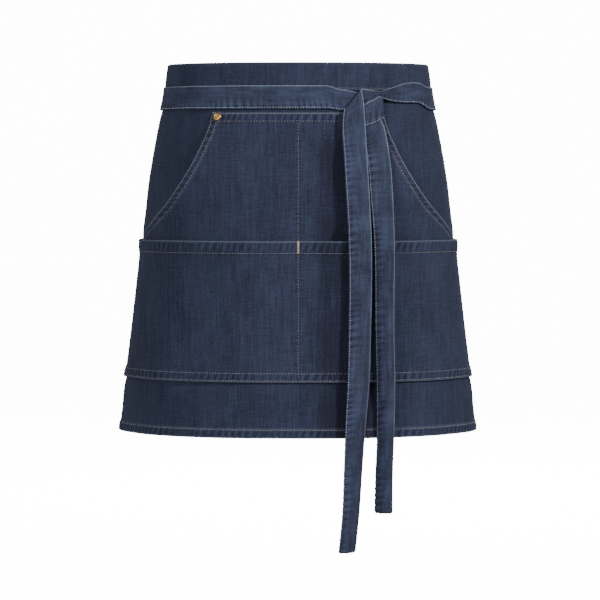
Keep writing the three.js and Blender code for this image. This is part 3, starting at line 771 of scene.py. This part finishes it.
section = band_profile()
bm = bmesh.new()
count = 400
bmesh.ops.create_grid(bm, x_segments=count, y_segments=len(section) - 1, size=1)
weave = bm.loops.layers.uv.new("cloth")
wear_layer = bm.verts.layers.float.new("wear")
ridge_and_painted_shade_layer = bm.verts.layers.float.new("ridge_and_painted_shade")
reach = float(panel_half(TOP - BAND_HEIGHT)) + 0.0005
flat = {}
for vert in bm.verts:
    run = vert.co.x * reach
    down, out = section[round((1 - vert.co.y) / 2 * (len(section) - 1))]
    z = TOP - down
    along = np.array([run])
    shape, worn, ridge_and_painted_shade = band_face(along, z)
    outer = out > 0.0015
    lift = out + (float(shape[0]) - band_outer if outer else 0)
    vert.co = on_body(angle_at(along, z), z, lift)[0]
    vert[wear_layer] = float(worn) if outer else 0.25
    vert[ridge_and_painted_shade_layer] = float(ridge_and_painted_shade[0]) if outer else 0
    flat[vert] = (run, -down if outer else down + 0.01)
for band_part in bm.faces:
    for loop in band_part.loops:
        loop[weave].uv = flat[loop.vert]
bmesh.ops.recalc_face_normals(bm, faces=bm.faces)
waistband = object_from(bm, "waistband_cloth")
wall = waistband.modifiers.new("cloth thickness", "SOLIDIFY")
wall.thickness = 0.0008
wall.offset = -1
band_denim = denim(
    "band_denim", (0.0085, 0.0105, 0.025), (0.034, 0.044, 0.09), (0.15, 0.18, 0.25), mottle=0.22, cross=0.08,
)
waistband.data.materials.append(band_denim)
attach(waistband, "root")
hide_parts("waistband")

bm = bmesh.new()
z = TOP - BAND_HEIGHT + 0.0023
runs = np.linspace(-reach + 0.002, reach - 0.002, 220)
sew(bm, *line_on(band_face, runs, np.full(220, z)), thick=0.0003)
for side in (-1, 1):
    heights = np.linspace(TOP - 0.002, TOP - BAND_HEIGHT + 0.003, 16)
    sew(bm, *line_on(band_face, np.full(16, side * (reach - 0.003)), heights), thick=0.00028)
stitches("waistband_stitching", bm, copper_thread)

# Two rivets close the upper corners of the hand openings: copper-coloured caps with a dimpled dome and a thin
# collar. They sit 1.8 mm further in and 1 mm lower than the CAD's, so that the knot hides the right one.
RIVET = 0.0046
RIVET_DOWN = 0.0044
RIVET_IN = 0.0081
copper = bpy.data.materials.new("rivet_copper")
copper.use_nodes = True
shader = copper.node_tree.nodes["Principled BSDF"]
where = node(copper.node_tree, "ShaderNodeTexCoord")
tarnish = node(copper.node_tree, "ShaderNodeTexNoise", Scale=650.0, Detail=5.0)
tone = node(copper.node_tree, "ShaderNodeMix", data_type="RGBA")
tone.inputs[6].default_value = (0.30, 0.155, 0.05, 1)
tone.inputs[7].default_value = (0.72, 0.46, 0.18, 1)
gloss = node(copper.node_tree, "ShaderNodeMapRange")
gloss.inputs["To Min"].default_value = 0.5
gloss.inputs["To Max"].default_value = 0.26
dents = node(copper.node_tree, "ShaderNodeBump", Strength=0.3, Distance=0.0002)
copper.node_tree.links.new(where.outputs["Object"], tarnish.inputs["Vector"])
copper.node_tree.links.new(tarnish.outputs["Fac"], tone.inputs[0])
copper.node_tree.links.new(tarnish.outputs["Fac"], gloss.inputs["Value"])
copper.node_tree.links.new(tarnish.outputs["Fac"], dents.inputs["Height"])
copper.node_tree.links.new(tone.outputs[2], shader.inputs["Base Color"])
copper.node_tree.links.new(gloss.outputs["Result"], shader.inputs["Roughness"])
copper.node_tree.links.new(dents.outputs["Normal"], shader.inputs["Normal"])
shader.inputs["Metallic"].default_value = 1

for name, side in (("left", -1), ("right", 1)):
    z = TOP - UPPER_TOP - RIVET_DOWN
    angle = side * (upper_edge(z) - RIVET_IN / body_size(z)[0])
    run = float(run_at(angle, z))
    points, outward = line_on(upper_face, [run], [z])
    rows = [
        (0, 0.0002), (1.06, 0.0002), (1.08, 0.0005), (1.0, 0.0008), (0.985, 0.0011),
        (0.9, 0.0016), (0.74, 0.00195), (0.58, 0.002), (0.44, 0.00175), (0.32, 0.0013),
        (0.2, 0.0011), (0.1, 0.0013), (0, 0.00135),
    ]
    bm = bmesh.new()
    profile = [bm.verts.new((across * RIVET, 0, up)) for across, up in rows]
    edges = [bm.edges.new(pair) for pair in zip(profile, profile[1:])]
    bmesh.ops.spin(
        bm, geom=profile + edges, axis=(0, 0, 1), cent=(0, 0, 0), steps=40, angle=2 * math.pi, use_merge=True,
    )
    bmesh.ops.remove_doubles(bm, verts=bm.verts, dist=1e-6)
    bmesh.ops.recalc_face_normals(bm, faces=bm.faces)
    turn = Vector(outward[0]).to_track_quat("Z", "Y").to_matrix().to_4x4()
    bmesh.ops.transform(bm, matrix=Matrix.Translation(Vector(points[0])) @ turn, verts=bm.verts)
    rivet = object_from(bm, "rivet_cap_" + name)
    rivet.data.materials.append(copper)
    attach(rivet, "root")
    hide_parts("rivet_" + name)

# The ties: two long strips of the same denim, folded lengthwise and sewn along one edge, each sewn on one end
# of the waistband. They cross at the back, meet in a knot in front, and their free ends are the tails.
TIE = 0.025
TIE_THICK = 0.0014
TIE_HEIGHT = 0.0005
TIE_BASE = 2 * CLOTH + 2 * GAP + TIE_THICK / 2
LAYER = 0.0023
KNOT = 0.522 * WAIST_HALF_WIDTH
SEWN = math.radians(14)
LEFT_TAIL_LENGTH, RIGHT_TAIL_LENGTH = 0.4825, 0.4415
# Rows of a knot: upper edge across and up, lower edge across and up, layers out. The left one's last five
# have the upper edge up to 8 mm from the CAD's and lie up to 1.6 mm further out.
RIGHT_KNOT = [
    (2.4, 0.68, 2.4, -0.21, 0), (2.01, 0.69, 2.01, -0.2, 0.1), (1.63, 0.63, 1.63, -0.2, 0.3),
    (1.28, 0.51, 1.28, -0.17, 0.8), (0.98, 0.4, 0.98, -0.12, 1.4), (0.64, 0.27, 0.64, -0.03, 1.9),
    (0.45, 0.29, 0.39, -0.13, 1.9), (0.17, 0.34, -0.09, -0.36, 1.5), (-0.02, 0.36, -0.6, -0.53, 1.3),
    (-0.2, 0.37, -0.96, -0.56, 2.2), (-0.15, 0.04, -1.01, -0.68, 3.3), (-0.1, -0.46, -1.04, -0.96, 3.6),
    (-0.06, -1.11, -1.06, -1.37, 3.7), (-0.02, -1.88, -1.02, -1.97, 3.7),
]
LEFT_KNOT = [
    (-1.24, 0.37, -1.24, -0.54, 0.15), (-0.9, 0.33, -0.9, -0.54, 0.15), (-0.47, 0.24, -0.47, -0.56, 0.15),
    (0, 0.11, -0.04, -0.66, 0.3), (0.43, -0.08, 0.36, -0.81, 1), (0.71, -0.18, 0.72, -0.89, 2),
    (0.58, 0.06, 0.66, -0.92, 3), (0.3, -0.07, 0.45, -1.06, 2.9), (-0.03, -0.24, 0, -1.22, 2.5),
    (-0.34, -0.45, -0.36, -1.31, 2.3), (-0.58, -0.6, -0.62, -1.26, 1.8), (-0.3, -0.58, -0.62, -1.4, 1.5),
    (0.3, -0.64, -0.47, -1.56, 1.9), (0.66, -1.02, -0.26, -1.75, 1.9), (0.84, -1.5, -0.11, -1.97, 1.8),
]
# Each row of a tail: share of its length, the middle's place across, width seen from the front, forward bow.
LEFT_TAIL = [
    (0.12, -0.49, 1, 0), (0.163, -0.45, 1, 0), (0.24, -0.36, 1, 0), (0.314, -0.3, 0.99, 0.05),
    (0.51, -0.31, 0.95, 0.1), (0.633, -0.38, 0.92, 0.14), (0.724, -0.5, 0.86, 0.18),
    (0.839, -0.62, 0.78, 0.22), (0.909, -0.69, 0.74, 0.24), (1, -0.86, 0.73, 0.24),
]
RIGHT_TAIL = [
    (0.128, 0.44, 1, 0), (0.149, 0.5, 1, 0), (0.225, 0.61, 0.98, 0.05), (0.322, 0.72, 0.88, 0.14),
    (0.558, 0.76, 0.77, 0.2), (0.692, 0.8, 0.76, 0.22), (0.792, 0.79, 0.72, 0.24),
    (0.937, 0.71, 0.74, 0.24), (1, 0.7, 0.76, 0.24),
]


def on_front(x, z, out):
    return on_body(float(angle_across(x, z, out)), z, out)


def round_waist(start, finish, side):
    """Stations (upper, middle, lower) of a tie from its sewn end round the back to the knot."""
    gap_start = float(angle_at(np.array([panel_half(TIE_HEIGHT)]), TIE_HEIGHT)[0])
    gap_end = 2 * math.pi - gap_start
    stations = []
    for angle in np.linspace(start, finish, int((finish - start) / math.radians(0.9))):
        share = (angle - gap_start) / (gap_end - gap_start)
        apart = ease(share, 0.04, 0.34) * (1 - ease(share, 0.66, 0.96))
        over = ease(share, 0.34, 0.66) * (1 - ease(angle, gap_end + SEWN, gap_end + 3 * SEWN))
        middle = TIE_HEIGHT + side * 0.015 * apart
        out = TIE_BASE + LAYER * over
        stations.append([on_body(side * angle, middle + d, out) for d in (TIE / 2, 0, -TIE / 2)])
    return stations


def knot_stretch(rows):
    """Stations through the knot: a smooth curve along each edge through its rows."""
    steps = 12
    table = np.array(rows)
    upper = [on_front(KNOT + r[0] * TIE, r[1] * TIE, TIE_BASE + r[4] * LAYER) for r in table]
    lower = [on_front(KNOT + r[2] * TIE, r[3] * TIE, TIE_BASE + r[4] * LAYER) for r in table]
    stations = []
    for k in range(len(rows) - 1):
        for s in range(steps if k < len(rows) - 2 else steps + 1):
            t = s / steps
            ends = []
            for line in (upper, lower):
                before = line[k - 1] if k else 2 * line[0] - line[1]
                after = line[k + 2] if k + 2 < len(line) else 2 * line[-1] - line[-2]
                a, b = line[k], line[k + 1]
                spans = ((before, a), (a, b), (b, after))
                first, here, last = [max(np.linalg.norm(q - p), 1e-6) ** 0.5 for p, q in spans]
                near = ((a - before) / first - (b - before) / (first + here)) * here + b - a
                far = ((after - b) / last - (after - a) / (here + last)) * here + b - a
                cubic = near + far - 2 * (b - a)
                ends.append(a + t * (near + t * (3 * (b - a) - 2 * near - far + t * cubic)))
            stations.append([ends[0], (ends[0] + ends[1]) / 2, ends[1]])
    return stations


def skirt_face(x, z):
    """The outermost cloth's face at a place on the front."""
    reach = 0.008
    down = TOP - z
    angle = angle_across(x, z, 0.003)
    if down < UPPER_TOP - reach:
        return 2 * CLOTH + GAP
    if down < MOUTH - reach:
        return float(upper_lift(angle, min(z, TOP - UPPER_TOP))) + 2 * FOLD
    if down < POCKET_SEAM + reach:
        return float(lower_lift(run_at(angle, z), z)) + 2 * FOLD
    return 2 * FOLD


def tail(rows, length, turned, over):
    """Stations of a tail, which lies on the skirt and hangs straight below the hem."""
    stations = []
    for down in np.linspace(rows[0][0], 1, 150):
        z = -down * length
        across, span, bow = [float(through([(r[0], r[k]) for r in rows], down)) for k in (1, 2, 3)]
        chord = 1 - 8 / 3 * bow**2
        depth = math.sqrt(max(chord**2 - span**2, 0)) * TIE
        middle = KNOT + across * TIE
        skirt = max(z - 0.013, TOP - DROP)
        faces = []
        for height in (z - 0.013, z, z + 0.013):
            for reach in (-1, -0.4, 0.2, 0.7, 1.2):
                faces.append(skirt_face(KNOT + reach * TIE, max(height, TOP - DROP)))
        base = max(faces) + GAP + TIE_THICK / 2 + over(down)
        places = []
        for x, out in (
            (middle + span * TIE / 2, base + (depth if turned > 0 else 0)),
            (middle, base + depth / 2 + bow * TIE),
            (middle - span * TIE / 2, base + (depth if turned < 0 else 0)),
        ):
            point = on_front(x, skirt, out)
            point[2] = z
            places.append(point)
        stations.append(places)
    return stations


def tie_piece(name, stations):
    """A flat folded strip through its stations, with its fold above and its stitched edge below."""
    stations = np.array(stations)
    for _ in range(4):
        stations[1:-1] = stations[1:-1] * 0.5 + (stations[:-2] + stations[2:]) * 0.25
    middles = stations[:, 1]
    walked = np.concatenate([[0], np.cumsum(np.linalg.norm(np.diff(middles, axis=0), axis=1))])
    total = walked[-1]
    last_lengths = total - 0.0028 + np.linspace(0, 0.0028, 6)
    lengths = np.concatenate([np.arange(0, total - 0.003, 0.0016), last_lengths])
    columns = stations.reshape(len(stations), 9).T
    even = np.array([[np.interp(at, walked, column) for column in columns] for at in lengths])
    even = even.reshape(-1, 3, 3)
    along = np.gradient(even[:, 1], axis=0)
    along /= np.linalg.norm(along, axis=1)[:, None]
    loop = []
    for k in range(34):
        t = 2 * math.pi * k / 34
        across = 0.5 - 0.5 * signed_power(math.cos(t), 0.5)
        loop.append((float(across), float(signed_power(math.sin(t), 0.34))))
    bm = bmesh.new()
    bmesh.ops.create_grid(bm, x_segments=len(loop), y_segments=len(even) - 1, size=1)
    weave = bm.loops.layers.uv.new("cloth")
    wear_layer = bm.verts.layers.float.new("wear")
    ridge_and_painted_shade_layer = bm.verts.layers.float.new("ridge_and_painted_shade")
    flat = {}

    def point_at(j, across, side):
        """across runs from the upper, folded edge at 0 to the lower, stitched edge at 1."""
        upper, middle, lower = even[j]
        ending = total - lengths[j]
        if ending < 0.0024:
            across = 0.5 + (across - 0.5) * (1 - 0.12 * (1 - ending / 0.0024) ** 2)
        curve = upper * (1 - across) * (1 - 2 * across) + middle * 4 * across * (1 - across)
        curve = curve + lower * across * (2 * across - 1)
        slope = upper * (4 * across - 3) + middle * (4 - 8 * across) + lower * (4 * across - 1)
        normal = np.cross(slope, along[j])
        normal /= max(np.linalg.norm(normal), 1e-9)
        from_seam = (1 - across) * TIE
        near_seam = math.exp(-((from_seam / 0.009) ** 2))
        ridges_and_painted_shade = 1.4 * pucker(lengths[j] * 1.05 + 0.17, from_seam * 0.8) * near_seam
        # Where the strip is bunched in the knot, its colour is darkened and striped along the folds: painted
        # shade.
        gathered = max(1 - np.linalg.norm(upper - lower) / TIE, 0) ** 2
        ridges_and_painted_shade += gathered * (1.5 * math.sin(across * 9 * math.pi) - 1.1)
        thread_dip = math.exp(-(((from_seam - 0.0014) / 0.0009) ** 2))
        thick = TIE_THICK / 2 - 0.00022 * thread_dip + 0.0001 * math.exp(-((across * TIE / 0.002) ** 2))
        return curve + normal * (side * thick + 0.00026 * ridges_and_painted_shade), ridges_and_painted_shade, normal

    for vert in bm.verts:
        k = round((vert.co.x + 1) / 2 * len(loop))
        j = round((1 - vert.co.y) / 2 * (len(even) - 1))
        across, side = loop[k % len(loop)]
        place, ridges_and_painted_shade, _ = point_at(j, across, side)
        from_fold, from_seam = across * TIE, (1 - across) * TIE
        vert.co = place
        fold_wear = math.exp(-((from_fold / 0.0009) ** 2))
        vert[wear_layer] = fold_wear + 0.1 * math.exp(-((from_seam / 0.0007) ** 2))
        vert[ridge_and_painted_shade_layer] = ridges_and_painted_shade
        flat[vert] = (across * TIE if side >= 0 else 0.06 - across * TIE, lengths[j])
    for strip_face in bm.faces:
        for corner in strip_face.loops:
            corner[weave].uv = flat[corner.vert]
    bmesh.ops.remove_doubles(bm, verts=bm.verts, dist=1e-7)
    bmesh.ops.holes_fill(bm, edges=[e for e in bm.edges if e.is_boundary], sides=0)
    bmesh.ops.recalc_face_normals(bm, faces=bm.faces)
    piece = object_from(bm, name)
    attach(piece, "root")
    seams = []
    for side in (-1, 1):
        points, outward = [], []
        for j in range(len(even)):
            place, _, normal = point_at(j, 1 - 0.0014 / TIE, side)
            points.append(place)
            outward.append(normal * side)
        seams.append((np.array(points), np.array(outward)))
    for j in (2, 17):
        place, _, normal = point_at(j, 0.5, 1)
        side = 1 if normal[0] * place[0] + normal[1] * place[1] > 0 else -1
        row = [point_at(j, across, side) for across in np.linspace(0.08, 0.92, 12)]
        seams.append((np.array([spot[0] for spot in row]), side * np.array([spot[2] for spot in row])))
    return piece, total, seams


def over_other_tail(down):
    """How much further out the left tail lies where it still hangs over the other tie's layers."""
    return (LAYER + 2 * GAP) * (1 - float(ease(down, 0.33, 0.45)))


right_start = float(angle_at(np.array([panel_half(TIE_HEIGHT)]), TIE_HEIGHT)[0]) - SEWN
left_finish = 2 * math.pi + float(angle_across(KNOT - 1.24 * TIE, TIE_HEIGHT, 0)) - math.radians(3)
right_finish = 2 * math.pi - float(angle_across(KNOT + 2.4 * TIE, TIE_HEIGHT, 0)) - math.radians(3)
tie_denim = denim(
    "tie_denim", (0.009, 0.011, 0.025), (0.047, 0.061, 0.115), (0.23, 0.28, 0.37),
    slub=0.75, mottle=0.25, cross=0.3,
)
left_stations = round_waist(right_start, left_finish, 1) + knot_stretch(LEFT_KNOT)
left_stations += tail(RIGHT_TAIL, RIGHT_TAIL_LENGTH, 1, lambda down: 0)
right_stations = round_waist(right_start, right_finish, -1) + knot_stretch(RIGHT_KNOT)
right_stations += tail(LEFT_TAIL, LEFT_TAIL_LENGTH, -1, over_other_tail)
for name, stations in (("left", left_stations), ("right", right_stations)):
    piece, total, seams = tie_piece("tie_strip_" + name, stations)
    piece.data.materials.append(tie_denim)
    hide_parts("tie_" + name)
    bm = bmesh.new()
    for points, outward in seams:
        sew(bm, points, outward, pitch=0.003, length=0.0017, thick=0.0004)
    seam = stitches("tie_stitching_" + name, bm, pale_thread)
